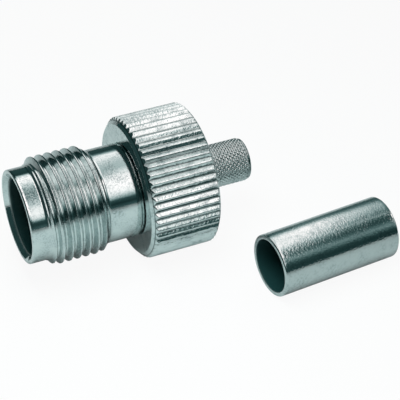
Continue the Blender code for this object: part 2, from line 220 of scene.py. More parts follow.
def turned(name, points, columns):
    """Closed surface of revolution about the X axis, from its (depth, radius) outline."""
    angles = np.arange(columns) * (2 * math.pi / columns)
    verts, rings, faces = [], [], []
    for depth, radius in points:
        first = len(verts)
        if radius == 0:
            verts.append((depth, 0, 0))
            rings.append([first] * columns)
        else:
            verts += [(depth, -radius * math.sin(angle), radius * math.cos(angle)) for angle in angles]
            rings.append(list(range(first, first + columns)))
    for index, ring in enumerate(rings):
        beyond = rings[(index + 1) % len(rings)]
        if ring[0] == ring[-1] and beyond[0] == beyond[-1]:
            continue
        for column in range(columns):
            other = (column + 1) % columns
            corners = [ring[column], ring[other], beyond[other], beyond[column]]
            faces.append(list(dict.fromkeys(corners)))
    mesh = bpy.data.meshes.new(name)
    mesh.from_pydata(verts, [], faces)
    tidy = bmesh.new()
    tidy.from_mesh(mesh)
    bmesh.ops.recalc_face_normals(tidy, faces=tidy.faces)
    tidy.to_mesh(mesh)
    tidy.free()
    mesh.shade_smooth()
    made = bpy.data.objects.new(name, mesh)
    bpy.context.scene.collection.objects.link(made)
    return made


def add_node(tree, kind, inputs=None, **settings):
    """Adds a node with its settings. Each input gets a value, or a link from a socket or a node's first output."""
    node = tree.nodes.new(kind)
    for name, value in settings.items():
        setattr(node, name, value)
    for name, value in (inputs or {}).items():
        if isinstance(value, bpy.types.Node):
            value = value.outputs[0]
        if isinstance(value, bpy.types.NodeSocket):
            tree.links.new(value, node.inputs[name])
        else:
            node.inputs[name].default_value = value
    return node


def reshape_tree(name, titles):
    """A Geometry Nodes tree with named inputs, and the depth, angle and radius of each point round the X axis."""
    tree = bpy.data.node_groups.new(name, "GeometryNodeTree")
    tree.interface.new_socket("Geometry", in_out="INPUT", socket_type="NodeSocketGeometry")
    for title in titles:
        tree.interface.new_socket(title, in_out="INPUT", socket_type="NodeSocketFloat")
    tree.interface.new_socket("Material", in_out="INPUT", socket_type="NodeSocketMaterial")
    tree.interface.new_socket("Geometry", in_out="OUTPUT", socket_type="NodeSocketGeometry")
    given = add_node(tree, "NodeGroupInput").outputs
    place = add_node(tree, "GeometryNodeInputPosition")
    parts = add_node(tree, "ShaderNodeSeparateXYZ", {0: place}).outputs
    backwards = add_node(tree, "ShaderNodeMath", {0: 0.0, 1: parts["Y"]}, operation="SUBTRACT")
    angle = add_node(tree, "ShaderNodeMath", {0: backwards, 1: parts["Z"]}, operation="ARCTAN2")
    across = add_node(tree, "ShaderNodeVectorMath", {0: place, 1: (0, 1, 1)}, operation="MULTIPLY")
    radius = add_node(tree, "ShaderNodeVectorMath", {0: across}, operation="LENGTH").outputs["Value"]
    return tree, given, place, parts["X"], angle, radius


def finish_reshape(tree, given, place, radius, wanted, chosen):
    """Moves the chosen points in to the wanted radius where that is smaller, and ends the tree."""
    inner = add_node(tree, "ShaderNodeMath", {0: radius, 1: wanted}, operation="MINIMUM")
    share = add_node(tree, "ShaderNodeMath", {0: inner, 1: radius}, operation="DIVIDE")
    scale = add_node(tree, "ShaderNodeCombineXYZ", {"X": 1.0, "Y": share, "Z": share})
    moved = add_node(tree, "ShaderNodeVectorMath", {0: place, 1: scale}, operation="MULTIPLY")
    shaped = add_node(tree, "GeometryNodeSetPosition", {
        "Geometry": given["Geometry"], "Selection": chosen, "Position": moved})
    real = add_node(tree, "GeometryNodeRealizeInstances", {"Geometry": shaped})
    painted = add_node(tree, "GeometryNodeSetMaterial", {"Geometry": real, "Material": given["Material"]})
    add_node(tree, "NodeGroupOutput", {"Geometry": painted})


def thread_tree():
    """Cuts a right-handed thread with 60 degree flanks into a turned blank."""
    tree, given, place, depth, angle, radius = reshape_tree("coupling_thread", (
        "Pitch", "Major radius", "Depth", "Crest", "First crest", "Start", "End", "Inner limit"))
    ahead = add_node(tree, "ShaderNodeMath", {0: depth, 1: given["First crest"]}, operation="SUBTRACT")
    turns = add_node(tree, "ShaderNodeMath", {0: ahead, 1: given["Pitch"]}, operation="DIVIDE")
    round_share = add_node(tree, "ShaderNodeMath", {0: angle, 1: 2 * math.pi}, operation="DIVIDE")
    phase = add_node(tree, "ShaderNodeMath", {0: turns, 1: round_share}, operation="SUBTRACT")
    from_crest = add_node(tree, "ShaderNodeMath", {0: phase, 1: 0.5}, operation="PINGPONG")
    distance = add_node(tree, "ShaderNodeMath", {0: from_crest, 1: given["Pitch"]}, operation="MULTIPLY")
    half_crest = add_node(tree, "ShaderNodeMath", {0: given["Crest"], 1: 0.5}, operation="MULTIPLY")
    down_flank = add_node(tree, "ShaderNodeMath", {0: distance, 1: half_crest}, operation="SUBTRACT")
    # Flanks at 60 degrees to each other stand at 60 degrees to the axis
    fall = add_node(tree, "ShaderNodeMath", {0: down_flank, 1: math.tan(math.radians(60))}, operation="MULTIPLY")
    # The cutter's rounded tip leaves a rounded root
    rooted = add_node(tree, "ShaderNodeMath", {0: fall, 1: given["Depth"], 2: 0.05 * MM}, operation="SMOOTH_MIN")
    drop = add_node(tree, "ShaderNodeMath", {0: rooted, 1: 0.0, 2: 0.012 * MM}, operation="SMOOTH_MAX")
    wanted = add_node(tree, "ShaderNodeMath", {0: given["Major radius"], 1: drop}, operation="SUBTRACT")
    after = add_node(tree, "ShaderNodeMath", {0: depth, 1: given["Start"]}, operation="GREATER_THAN")
    before = add_node(tree, "ShaderNodeMath", {0: depth, 1: given["End"]}, operation="LESS_THAN")
    outer = add_node(tree, "ShaderNodeMath", {0: radius, 1: given["Inner limit"]}, operation="GREATER_THAN")
    within = add_node(tree, "ShaderNodeMath", {0: after, 1: before}, operation="MULTIPLY")
    chosen = add_node(tree, "ShaderNodeMath", {0: within, 1: outer}, operation="MULTIPLY")
    finish_reshape(tree, given, place, radius, wanted, chosen)
    return tree


def straight_knurl_tree():
    """Rolls V grooves along a turned blank. They wander and vary a little, as rolled ones do."""
    tree, given, place, _, angle, radius = reshape_tree("straight_knurl", (
        "Teeth", "Tip radius", "Depth", "Land", "Turn", "Wobble"))
    turned_back = add_node(tree, "ShaderNodeMath", {0: angle, 1: given["Turn"]}, operation="SUBTRACT")
    counted = add_node(tree, "ShaderNodeMath", {0: turned_back, 1: given["Teeth"]}, operation="MULTIPLY")
    teeth = add_node(tree, "ShaderNodeMath", {0: counted, 1: 2 * math.pi}, operation="DIVIDE")
    # Waves about 1.5 mm long
    waves = add_node(tree, "ShaderNodeTexNoise", {"Vector": place, "Scale": 1 / (1.5 * MM), "Detail": 2.0})
    centred = add_node(tree, "ShaderNodeMath", {0: waves, 1: 0.5}, operation="SUBTRACT")
    wander = add_node(tree, "ShaderNodeMath", {0: centred, 1: given["Wobble"]}, operation="MULTIPLY")
    phase = add_node(tree, "ShaderNodeMath", {0: teeth, 1: wander}, operation="ADD")
    from_groove = add_node(tree, "ShaderNodeMath", {0: phase, 1: 0.5}, operation="PINGPONG")
    # Half a tooth's land, as a share of the pitch
    two_circles = add_node(tree, "ShaderNodeMath", {0: given["Tip radius"], 1: 4 * math.pi}, operation="MULTIPLY")
    all_lands = add_node(tree, "ShaderNodeMath", {0: given["Land"], 1: given["Teeth"]}, operation="MULTIPLY")
    half_land = add_node(tree, "ShaderNodeMath", {0: all_lands, 1: two_circles}, operation="DIVIDE")
    half_groove = add_node(tree, "ShaderNodeMath", {0: 0.5, 1: half_land}, operation="SUBTRACT")
    raw_rise = add_node(tree, "ShaderNodeMath", {0: from_groove, 1: half_groove}, operation="DIVIDE")
    rise = add_node(tree, "ShaderNodeMath", {0: raw_rise, 1: 1.0, 2: 0.12}, operation="SMOOTH_MIN")
    sunk = add_node(tree, "ShaderNodeMath", {0: 1.0, 1: rise}, operation="SUBTRACT")
    # Dents about 0.35 mm across
    dents = add_node(tree, "ShaderNodeTexNoise", {"Vector": place, "Scale": 1 / (0.35 * MM), "Detail": 2.0})
    dented = add_node(tree, "ShaderNodeMapRange", {0: dents, 1: 0.35, 2: 0.7, 3: 0.0, 4: 0.02})
    lower = add_node(tree, "ShaderNodeMath", {0: sunk, 1: dented}, operation="ADD")
    drop = add_node(tree, "ShaderNodeMath", {0: lower, 1: given["Depth"]}, operation="MULTIPLY")
    wanted = add_node(tree, "ShaderNodeMath", {0: given["Tip radius"], 1: drop}, operation="SUBTRACT")
    chosen = add_node(tree, "ShaderNodeMath", {0: radius, 1: 0.0}, operation="GREATER_THAN")
    finish_reshape(tree, given, place, radius, wanted, chosen)
    return tree


def diamond_knurl_tree():
    """Rolls two crossing sets of grooves into a turned blank, which leave diamonds between them."""
    tree, given, place, depth, angle, radius = reshape_tree("diamond_knurl", (
        "Diamonds", "Diamond length", "Tip radius", "Depth", "Start", "End", "Inner limit"))
    along = add_node(tree, "ShaderNodeMath", {0: depth, 1: given["Diamond length"]}, operation="DIVIDE")
    counted = add_node(tree, "ShaderNodeMath", {0: angle, 1: given["Diamonds"]}, operation="MULTIPLY")
    around = add_node(tree, "ShaderNodeMath", {0: counted, 1: 2 * math.pi}, operation="DIVIDE")
    rising = add_node(tree, "ShaderNodeMath", {0: around, 1: along}, operation="ADD")
    falling = add_node(tree, "ShaderNodeMath", {0: around, 1: along}, operation="SUBTRACT")
    from_rising = add_node(tree, "ShaderNodeMath", {0: rising, 1: 0.5}, operation="PINGPONG")
    from_falling = add_node(tree, "ShaderNodeMath", {0: falling, 1: 0.5}, operation="PINGPONG")
    nearest = add_node(tree, "ShaderNodeMath", {0: from_rising, 1: from_falling}, operation="MINIMUM")
    # The diamonds are cut off a little below their points
    raw_height = add_node(tree, "ShaderNodeMath", {0: nearest, 1: 0.4}, operation="DIVIDE")
    height = add_node(tree, "ShaderNodeMath", {0: raw_height, 1: 1.0}, operation="MINIMUM")
    sunk = add_node(tree, "ShaderNodeMath", {0: 1.0, 1: height}, operation="SUBTRACT")
    drop = add_node(tree, "ShaderNodeMath", {0: sunk, 1: given["Depth"]}, operation="MULTIPLY")
    wanted = add_node(tree, "ShaderNodeMath", {0: given["Tip radius"], 1: drop}, operation="SUBTRACT")
    after = add_node(tree, "ShaderNodeMath", {0: depth, 1: given["Start"]}, operation="GREATER_THAN")
    before = add_node(tree, "ShaderNodeMath", {0: depth, 1: given["End"]}, operation="LESS_THAN")
    outer = add_node(tree, "ShaderNodeMath", {0: radius, 1: given["Inner limit"]}, operation="GREATER_THAN")
    within = add_node(tree, "ShaderNodeMath", {0: after, 1: before}, operation="MULTIPLY")
    chosen = add_node(tree, "ShaderNodeMath", {0: within, 1: outer}, operation="MULTIPLY")
    finish_reshape(tree, given, place, radius, wanted, chosen)
    return tree


def reshaped(blank, tree, values):
    """The blank as its Geometry Nodes tree shapes it, as a plain mesh."""
    modifier = blank.modifiers.new(tree.name, "NODES")
    modifier.node_group = tree
    sockets = {item.name: item.identifier for item in tree.interface.items_tree if item.in_out == "INPUT"}
    for title, value in values.items():
        modifier[sockets[title]] = value
    shaped = blank.evaluated_get(bpy.context.evaluated_depsgraph_get())
    mesh = bpy.data.meshes.new_from_object(shaped)
    blank.modifiers.clear()
    old = blank.data
    blank.data = mesh
    bpy.data.meshes.remove(old)
    blank.data.name = blank.name
    blank.data.shade_smooth()
    return blank


def put_in_place(piece, place, material, node):
    """Sets a piece's mesh where the solid is, gives it its finish and lets it stand for that solid."""
    piece.data.transform(place)
    piece.data.materials.clear()
    piece.data.materials.append(material)
    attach(piece, "root")
    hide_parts(node)


def new_material(name):
    material = bpy.data.materials.new(name)
    material.use_nodes = True
    material.node_tree.nodes.clear()
    return material, material.node_tree


def grain(tree, widths, detail, roughness=0.5):
    """Noise whose grains have the given widths in metres along X, Y and Z."""
    place = add_node(tree, "ShaderNodeTexCoord").outputs["Object"]
    mapped = add_node(tree, "ShaderNodeMapping", {"Vector": place, "Scale": [1 / width for width in widths]})
    return add_node(tree, "ShaderNodeTexNoise", {
        "Vector": mapped, "Scale": 1.0, "Detail": detail, "Roughness": roughness})


def distance_from_axis(tree, place, middle, turn):
    """Distance of each point from a level axis, which runs through the middle and is turned from +X."""
    centred = add_node(tree, "ShaderNodeMapping", {
        "Vector": place, "Location": middle, "Rotation": (0, 0, turn)}, vector_type="TEXTURE")
    across = add_node(tree, "ShaderNodeVectorMath", {0: centred, 1: (0, 1, 1)}, operation="MULTIPLY")
    return add_node(tree, "ShaderNodeVectorMath", {0: across}, operation="LENGTH").outputs["Value"]


def nickel(name, colours, base, lines, pits, rough, spread=(0.38, 0.72), speck_length=1.3,
           worn=None, valleys=None, dull_zone=None, smooth_zone=None, hole=None):
    """Bright nickel over machined brass: a mirror with cutter lines round it, and pits and dark specks in patches.

    lines and pits are (width, height) of the cutter's lines and of the pits, and rough is the clean metal's
    roughness. spread holds the noise levels where a stained patch begins and is full, and speck_length is a
    speck's length along X in pits. The rest are places that differ from the others:
    worn: (centre, radius) of a worn spot
    valleys: (lowest radius of the knurl, radius where the painted shade in it ends, share of painted shade)
    dull_zone: (start, end, added roughness), with places along X
    smooth_zone: (start, end) of the stretch along X in which the pits grow to their full depth
    hole: (middle, turn, radius) of a hole whose wall is darkened with painted shade: dark teal, less metallic and
    rougher
    """
    material, tree = new_material(name)
    place = add_node(tree, "ShaderNodeTexCoord").outputs["Object"]
    patches = grain(tree, [1.5 * MM] * 3, 4.0, 0.6)
    if worn:
        centre, radius = worn
        away = add_node(tree, "ShaderNodeVectorMath", {0: place, 1: centre}, operation="DISTANCE").outputs["Value"]
        near = add_node(tree, "ShaderNodeMapRange", {0: away, 1: 0.5 * radius, 2: radius, 3: 1.0, 4: 0.0})
        patches = add_node(tree, "ShaderNodeMix", {0: near, 2: patches, 3: 0.8})

    # Dark specks crowd in the patches. Real ones are finer than a picture shows, so they are drawn coarser
    pit_width, pit_depth = pits
    specks = grain(tree, [speck_length * pit_width, 1.3 * pit_width, 1.3 * pit_width], 1.0)
    speck_share = add_node(tree, "ShaderNodeMapRange", {0: specks, 1: 0.46, 2: 0.60, 3: 0.25, 4: 1.0})
    patch_share = add_node(tree, "ShaderNodeMapRange", {0: patches, 1: spread[0], 2: spread[1], 3: 0.05, 4: 0.85})
    stained = add_node(tree, "ShaderNodeMath", {0: speck_share, 1: patch_share}, operation="MULTIPLY")
    body = add_node(tree, "ShaderNodeMix", {0: stained, 6: (*base, 1), 7: (*colours.stain, 1)}, data_type="RGBA")
    # Painted shade in the knurls' valleys: dark teal, strongest at their roots
    if valleys:
        lowest, end, share = valleys
        from_axis = distance_from_axis(tree, place, RIM, 0.0)
        # The collar's face and the stem's end lie further in than the valleys, and get no painted shade
        deep = add_node(tree, "ShaderNodeMapRange", {
            0: from_axis, 1: lowest - 0.05 * MM, 2: lowest - 0.02 * MM, 3: 0.0, 4: share})
        painted_shade = add_node(tree, "ShaderNodeMapRange", {0: from_axis, 1: lowest, 2: end, 3: deep, 4: 0.0})
        body = add_node(tree, "ShaderNodeMix", {
            0: painted_shade, 6: body.outputs[2], 7: (*colours.painted_shade, 1)}, data_type="RGBA")

    dull = add_node(tree, "ShaderNodeMapRange", {0: patches, 1: 0.40, 2: 0.70, 3: rough, 4: rough + 0.05})
    if dull_zone:
        start, end, added = dull_zone
        along = add_node(tree, "ShaderNodeSeparateXYZ", {0: place}).outputs["X"]
        inside = add_node(tree, "ShaderNodeMath", {
            0: along, 1: (start + end) / 2, 2: (end - start) / 2}, operation="COMPARE")
        more = add_node(tree, "ShaderNodeMath", {0: inside, 1: added}, operation="MULTIPLY")
        dull = add_node(tree, "ShaderNodeMath", {0: dull, 1: more}, operation="ADD")

    line_width, line_height = lines
    cuts = grain(tree, [line_width, 1.2 * MM, 1.2 * MM], 3.0, 0.6)
    turned_metal = add_node(tree, "ShaderNodeBump", {"Height": cuts, "Distance": line_height, "Strength": 1.0})
    holes = grain(tree, [pit_width] * 3, 2.0, 0.6)
    depth = add_node(tree, "ShaderNodeMapRange", {
        0: patches, 1: 0.42, 2: 0.90, 3: 0.6 * pit_depth, 4: 1.6 * pit_depth})
    if smooth_zone:
        start, end = smooth_zone
        along = add_node(tree, "ShaderNodeSeparateXYZ", {0: place}).outputs["X"]
        grown = add_node(tree, "ShaderNodeMapRange", {0: along, 1: start, 2: end, 3: 0.1, 4: 1.0})
        depth = add_node(tree, "ShaderNodeMath", {0: depth, 1: grown}, operation="MULTIPLY")
    pitted = add_node(tree, "ShaderNodeBump", {
        "Height": holes, "Distance": depth, "Strength": 1.0, "Normal": turned_metal})

    shader_inputs = {"Base Color": body.outputs[2], "Metallic": 1.0, "Roughness": dull, "Normal": pitted}
    # Painted shade on the hole's wall: dark teal, less metallic and rougher, since little light gets in
    if hole:
        middle, turn, radius = hole
        from_axis = distance_from_axis(tree, place, middle, turn)
        within = add_node(tree, "ShaderNodeMapRange", {
            0: from_axis, 1: 1.01 * radius, 2: 1.04 * radius, 3: 1.0, 4: 0.0})
        shaded_wall = add_node(tree, "ShaderNodeMix", {
            0: within, 6: body.outputs[2], 7: (*colours.painted_shade, 1)}, data_type="RGBA")
        shader_inputs["Base Color"] = shaded_wall.outputs[2]
        shader_inputs["Metallic"] = add_node(tree, "ShaderNodeMapRange", {0: within, 3: 1.0, 4: 0.3})
        shader_inputs["Roughness"] = add_node(tree, "ShaderNodeMix", {0: within, 2: dull, 3: 0.5})
    shader = add_node(tree, "ShaderNodeBsdfPrincipled", shader_inputs)
    add_node(tree, "ShaderNodeOutputMaterial", {"Surface": shader})
    return material


def ptfe(colours):
    """Turned PTFE: waxy white, with soft highlights and faint turning lines."""
    material, tree = new_material("turned_ptfe")
    lines = grain(tree, [0.06 * MM, 2 * MM, 2 * MM], 2.0)
    cut = add_node(tree, "ShaderNodeBump", {"Height": lines, "Distance": 0.006 * MM, "Strength": 0.6})
    shader = add_node(tree, "ShaderNodeBsdfPrincipled", {
        "Base Color": (*colours.ptfe, 1), "Roughness": 0.42, "IOR": 1.38, "Normal": cut})
    shader.inputs["Subsurface Weight"].default_value = 0.15
    shader.inputs["Subsurface Scale"].default_value = 0.4 * MM
    add_node(tree, "ShaderNodeOutputMaterial", {"Surface": shader})
    return material


def gold(colours):
    """Gold-plated brass contact: warm and bright, with fine turning lines."""
    material, tree = new_material("gold_plated_contact")
    lines = grain(tree, [0.04 * MM, 2 * MM, 2 * MM], 2.0)
    cut = add_node(tree, "ShaderNodeBump", {"Height": lines, "Distance": 0.002 * MM, "Strength": 1.0})
    dull = add_node(tree, "ShaderNodeMapRange", {0: lines, 1: 0.3, 2: 0.7, 3: 0.16, 4: 0.26})
    shader = add_node(tree, "ShaderNodeBsdfPrincipled", {
        "Base Color": (*colours.gold, 1), "Metallic": 1.0, "Roughness": dull, "Normal": cut})
    add_node(tree, "ShaderNodeOutputMaterial", {"Surface": shader})
    return material


class JACK_OT_threaded_shell(bpy.types.Operator):
    """Shell with its mouth, bore, coupling thread and smooth barrel"""
    bl_idname = "jack.threaded_shell"
    bl_label = "Threaded shell"

    def execute(self, context):
        sizes = context.scene.jack_shell
        nose, major, barrel, bore = sizes.nose / 2, sizes.thread / 2, sizes.barrel / 2, sizes.bore / 2
        start, end = sizes.thread_start, sizes.thread_end
        # A small step and a plain ring stand ahead of the thread's tapered lead
        step, ring, lead = 0.10 * MM, 0.15 * MM, 0.42 * MM
        thread_root_limit = bore * 1.05
        corners = [
            (0, sizes.mouth / 2, 0.03 * MM),
            (0, nose, 0.13 * MM),
            (start, nose),
            (start + step, nose + step),
            (start + step + ring, nose + step),
            (start + step + ring + lead, major, 0.02 * MM),
            (end - major + barrel, major, 0.04 * MM),
            (end, barrel),
            (BARREL_END, barrel, 0.06 * MM),
            (BARREL_END, SPIGOT_RADIUS),
            (SPIGOT_END, SPIGOT_RADIUS),
            (SPIGOT_END, POCKET_RADIUS),
            (SHOULDER_END, POCKET_RADIUS),
            (SHOULDER_END, THROAT_RADIUS, 0.05 * MM),
            (REFERENCE_PLANE, THROAT_RADIUS, 0.08 * MM),
            (REFERENCE_PLANE, bore),
            (MOUTH_END, bore, 0.06 * MM)]

        def spacing(here, there):
            outside = min(here.y, there.y) > thread_root_limit
            on_thread = outside and start <= min(here.x, there.x) and max(here.x, there.x) <= end
            return 0.032 * MM if on_thread else 0.25 * MM

        blank = turned("coupling_shell", outline_points(corners, spacing), 240)
        colours = context.scene.jack_finish
        finish = nickel("turned_nickel_plate", colours, colours.nickel, lines=(0.06 * MM, 0.0007 * MM),
                        pits=(0.12 * MM, 0.0042 * MM), rough=0.045,
                        worn=(JACK_PLACE @ Vector((0.9 * MM, -2.27 * MM, 4.27 * MM)), 1.3 * MM),
                        # The bore's wall gets painted shade
                        dull_zone=(RIM.x + start, RIM.x + end, 0.02), hole=(RIM, 0.0, bore))
        shell = reshaped(blank, thread_tree(), {
            "Pitch": sizes.pitch, "Major radius": major, "Depth": sizes.thread_depth, "Crest": sizes.crest,
            "First crest": sizes.first_crest, "Start": start + step + ring, "End": end,
            "Inner limit": thread_root_limit, "Material": finish})
        put_in_place(shell, JACK_PLACE, finish, "threaded_shell")
        return {"FINISHED"}


class JACK_OT_knurled_collar(bpy.types.Operator):
    """Collar with its straight knurl"""
    bl_idname = "jack.knurled_collar"
    bl_label = "Knurled collar"

    def execute(self, context):
        sizes = context.scene.jack_collar
        tip = sizes.outside / 2
        corners = [
            (COLLAR_FACE, COLLAR_HOLE_RADIUS, 0.04 * MM),
            (COLLAR_FACE, sizes.face / 2, 0.05 * MM),
            (COLLAR_FACE + sizes.face_chamfer, tip, 0.05 * MM),
            (COLLAR_BACK - sizes.back_chamfer, tip, 0.05 * MM),
            (COLLAR_BACK, sizes.back / 2, 0.05 * MM),
            (COLLAR_BACK, CABLE_HOLE_RADIUS),
            (CHAMBER_CONE_END, CABLE_HOLE_RADIUS),
            (CHAMBER_END, CHAMBER_RADIUS),
            (CHAMBER_STEP, CHAMBER_RADIUS),
            (CHAMBER_STEP, COLLAR_HOLE_RADIUS)]

        def spacing(here, there):
            on_knurl = min(here.y, there.y) > 6.5 * MM
            return 0.10 * MM if on_knurl else 0.5 * MM

        blank = turned("knurled_collar", outline_points(corners, spacing), sizes.teeth * 12)
        colours = context.scene.jack_finish
        valley, face = tip - sizes.tooth_depth, RIM.x + COLLAR_FACE
        finish = nickel("knurled_nickel_plate", colours, colours.nickel, lines=(0.12 * MM, 0.0008 * MM),
                        pits=(0.23 * MM, 0.030 * MM), rough=0.05, spread=(0.42, 0.74), speck_length=3.6,
                        # The valleys between the teeth get painted shade
                        valleys=(valley, valley + 0.09 * MM, 0.75),
                        smooth_zone=(face + 0.1 * MM, face + 0.4 * MM))
        collar = reshaped(blank, straight_knurl_tree(), {
            "Teeth": float(sizes.teeth), "Tip radius": tip, "Depth": sizes.tooth_depth, "Land": sizes.land,
            "Turn": sizes.turn, "Wobble": sizes.wobble, "Material": finish})
        put_in_place(collar, JACK_PLACE, finish, "rear_body")
        return {"FINISHED"}


class JACK_OT_crimp_stem(bpy.types.Operator):
    """Thin stem with its diamond knurl, which the cable's braid is crimped on to"""
    bl_idname = "jack.crimp_stem"
    bl_label = "Crimp stem"

    def execute(self, context):
        sizes = context.scene.jack_stem
        tip, bore = sizes.outside / 2, sizes.bore / 2
        band = tip - sizes.diamond_depth
        foot = COLLAR_BACK - 0.3 * MM
        knurl_start = COLLAR_BACK + sizes.foot_band
        knurl_end = STEM_END - sizes.end_band
        inner_limit = 1.9 * MM
        corners = [
            (foot, band),
            (knurl_start, band),
            (knurl_start + sizes.diamond_depth, tip),
            (knurl_end - sizes.diamond_depth, tip),
            (knurl_end, band),
            (STEM_END, band, sizes.end_chamfer),
            (STEM_END, bore, 0.05 * MM),
            (foot, bore)]

        def spacing(here, there):
            on_knurl = min(here.y, there.y) > inner_limit
            return 0.05 * MM if on_knurl else 0.4 * MM

        blank = turned("crimp_stem", outline_points(corners, spacing), sizes.diamonds * 10)
        colours = context.scene.jack_finish
        finish = nickel("rolled_nickel_plate", colours, colours.nickel, lines=(0.08 * MM, 0.0006 * MM),
                        # The grooves between the diamonds get painted shade
                        pits=(0.20 * MM, 0.016 * MM), rough=0.06, valleys=(band, band + 0.045 * MM, 0.50))
        stem = reshaped(blank, diamond_knurl_tree(), {
            "Diamonds": float(sizes.diamonds), "Diamond length": math.pi * sizes.outside / sizes.diamonds,
            "Tip radius": tip, "Depth": sizes.diamond_depth, "Start": knurl_start, "End": knurl_end,
            "Inner limit": inner_limit, "Material": finish})
        put_in_place(stem, JACK_PLACE, finish, "rear_body")
        return {"FINISHED"}


class JACK_OT_insulators(bpy.types.Operator):
    """The two turned insulators that hold the contact"""
    bl_idname = "jack.insulators"
    bl_label = "Insulators"

    def execute(self, context):
        finish = ptfe(context.scene.jack_finish)
        front = [
            (INSULATOR_FACE, CONTACT_HOLE_RADIUS, 0.04 * MM),
            (INSULATOR_FACE, INSULATOR_RADIUS, 0.15 * MM),
            (FRONT_FLANGE_START, INSULATOR_RADIUS),
            (FRONT_FLANGE_START, FLANGE_RADIUS, 0.05 * MM),
            (FRONT_FLANGE_END, FLANGE_RADIUS),
            (FRONT_FLANGE_END, CONTACT_COLLAR_HOLE_RADIUS),
            (CONTACT_HOLE_STEP, CONTACT_COLLAR_HOLE_RADIUS),
            (CONTACT_HOLE_STEP, CONTACT_HOLE_RADIUS)]
        rear = [
            (REAR_FLANGE_START, TAIL_HOLE_RADIUS),
            (REAR_FLANGE_START, FLANGE_RADIUS),
            (SPIGOT_END, FLANGE_RADIUS),
            (SPIGOT_END, BOSS_RADIUS),
            (REAR_BOSS_END, BOSS_RADIUS, 0.06 * MM),
            (REAR_BOSS_END, TAIL_HOLE_RADIUS)]
        for name, corners in (("front_insulator", front), ("rear_insulator", rear)):
            piece = turned(name + "_ptfe", outline_points(corners, 0.4 * MM), 128)
            put_in_place(piece, JACK_PLACE, finish, name)
        return {"FINISHED"}


class JACK_OT_socket_contact(bpy.types.Operator):
    """Slotted socket that takes the plug's pin"""
    bl_idname = "jack.socket_contact"
    bl_label = "Socket contact"

    def execute(self, context):
        pin_hole_end, lead_in = CONTACT_START + 4.50 * MM, 0.18 * MM
        corners = [
            (pin_hole_end, 0),
            (pin_hole_end, PIN_HOLE_RADIUS),
            (CONTACT_START + lead_in, PIN_HOLE_RADIUS, 0.04 * MM),
            (CONTACT_START, PIN_HOLE_RADIUS + lead_in, 0.02 * MM),
            (CONTACT_START, CONTACT_RADIUS, 0.06 * MM),
            (CONTACT_COLLAR_START, CONTACT_RADIUS),
            (CONTACT_COLLAR_START, CONTACT_COLLAR_RADIUS),
            (FRONT_FLANGE_END, CONTACT_COLLAR_RADIUS),
            (FRONT_FLANGE_END, TAIL_RADIUS),
            (CONTACT_END, TAIL_RADIUS, 0.06 * MM),
            (CONTACT_END, WIRE_HOLE_RADIUS, 0.04 * MM),
            (WIRE_HOLE_END, WIRE_HOLE_RADIUS),
            (WIRE_HOLE_END, 0)]
        contact = turned("slotted_contact", outline_points(corners, 0.4 * MM), 96)
        # Two crossing saw cuts, 3.6 mm deep and 0.2 mm wide, leave four fingers
        for turn in (0, math.pi / 2):
            cut = bmesh.new()
            bmesh.ops.create_cube(cut, size=1, matrix=Matrix.Rotation(turn, 4, "X")
                                  @ Matrix.Translation((CONTACT_START + 1.5 * MM, 0, 0))
                                  @ Matrix.Diagonal((4.2 * MM, 0.20 * MM, 4.0 * MM, 1)))
            mesh = bpy.data.meshes.new("saw_cut")
            cut.to_mesh(mesh)
            cut.free()
            saw = bpy.data.objects.new("saw_cut", mesh)
            context.scene.collection.objects.link(saw)
            slit = contact.modifiers.new("slit", "BOOLEAN")
            slit.operation = "DIFFERENCE"
            slit.solver = "EXACT"
            slit.object = saw
            evaluated = contact.evaluated_get(context.evaluated_depsgraph_get())
            cut_mesh = bpy.data.meshes.new_from_object(evaluated)
            contact.modifiers.clear()
            contact.data = cut_mesh
            bpy.data.objects.remove(saw, do_unlink=True)
        contact.data.shade_smooth()
        contact.data.set_sharp_from_angle(angle=math.radians(35))
        put_in_place(contact, JACK_PLACE, gold(context.scene.jack_finish), "socket_contact")
        return {"FINISHED"}


class JACK_OT_crimp_ferrule(bpy.types.Operator):
    """Plain tube that is crimped over the braid, lying beside the jack"""
    bl_idname = "jack.crimp_ferrule"
    bl_label = "Crimp ferrule"

    def execute(self, context):
        sizes = context.scene.jack_ferrule
        outer, inner, half = sizes.outside / 2, sizes.bore / 2, sizes.length / 2
        corners = [
            (-half, inner, sizes.edge),
            (-half, outer, sizes.edge),
            (half, outer, sizes.edge),
            (half, inner, sizes.edge)]
        ferrule = turned("ferrule_tube", outline_points(corners, 0.25 * MM, 6), 256)
        place = Matrix.Translation((FERRULE_LOW + FERRULE_HIGH) / 2) @ Matrix.Rotation(sizes.turn, 4, "Z")
        colours = context.scene.jack_finish
        finish = nickel("drawn_nickel_plate", colours, colours.ferrule, lines=(0.06 * MM, 0.0003 * MM),
                        pits=(0.20 * MM, 0.018 * MM), rough=0.035, spread=(0.42, 0.80),
                        # The tube's inside gets painted shade
                        hole=(place.translation, sizes.turn, inner))
        put_in_place(ferrule, place, finish, "crimp_ferrule")
        return {"FINISHED"}


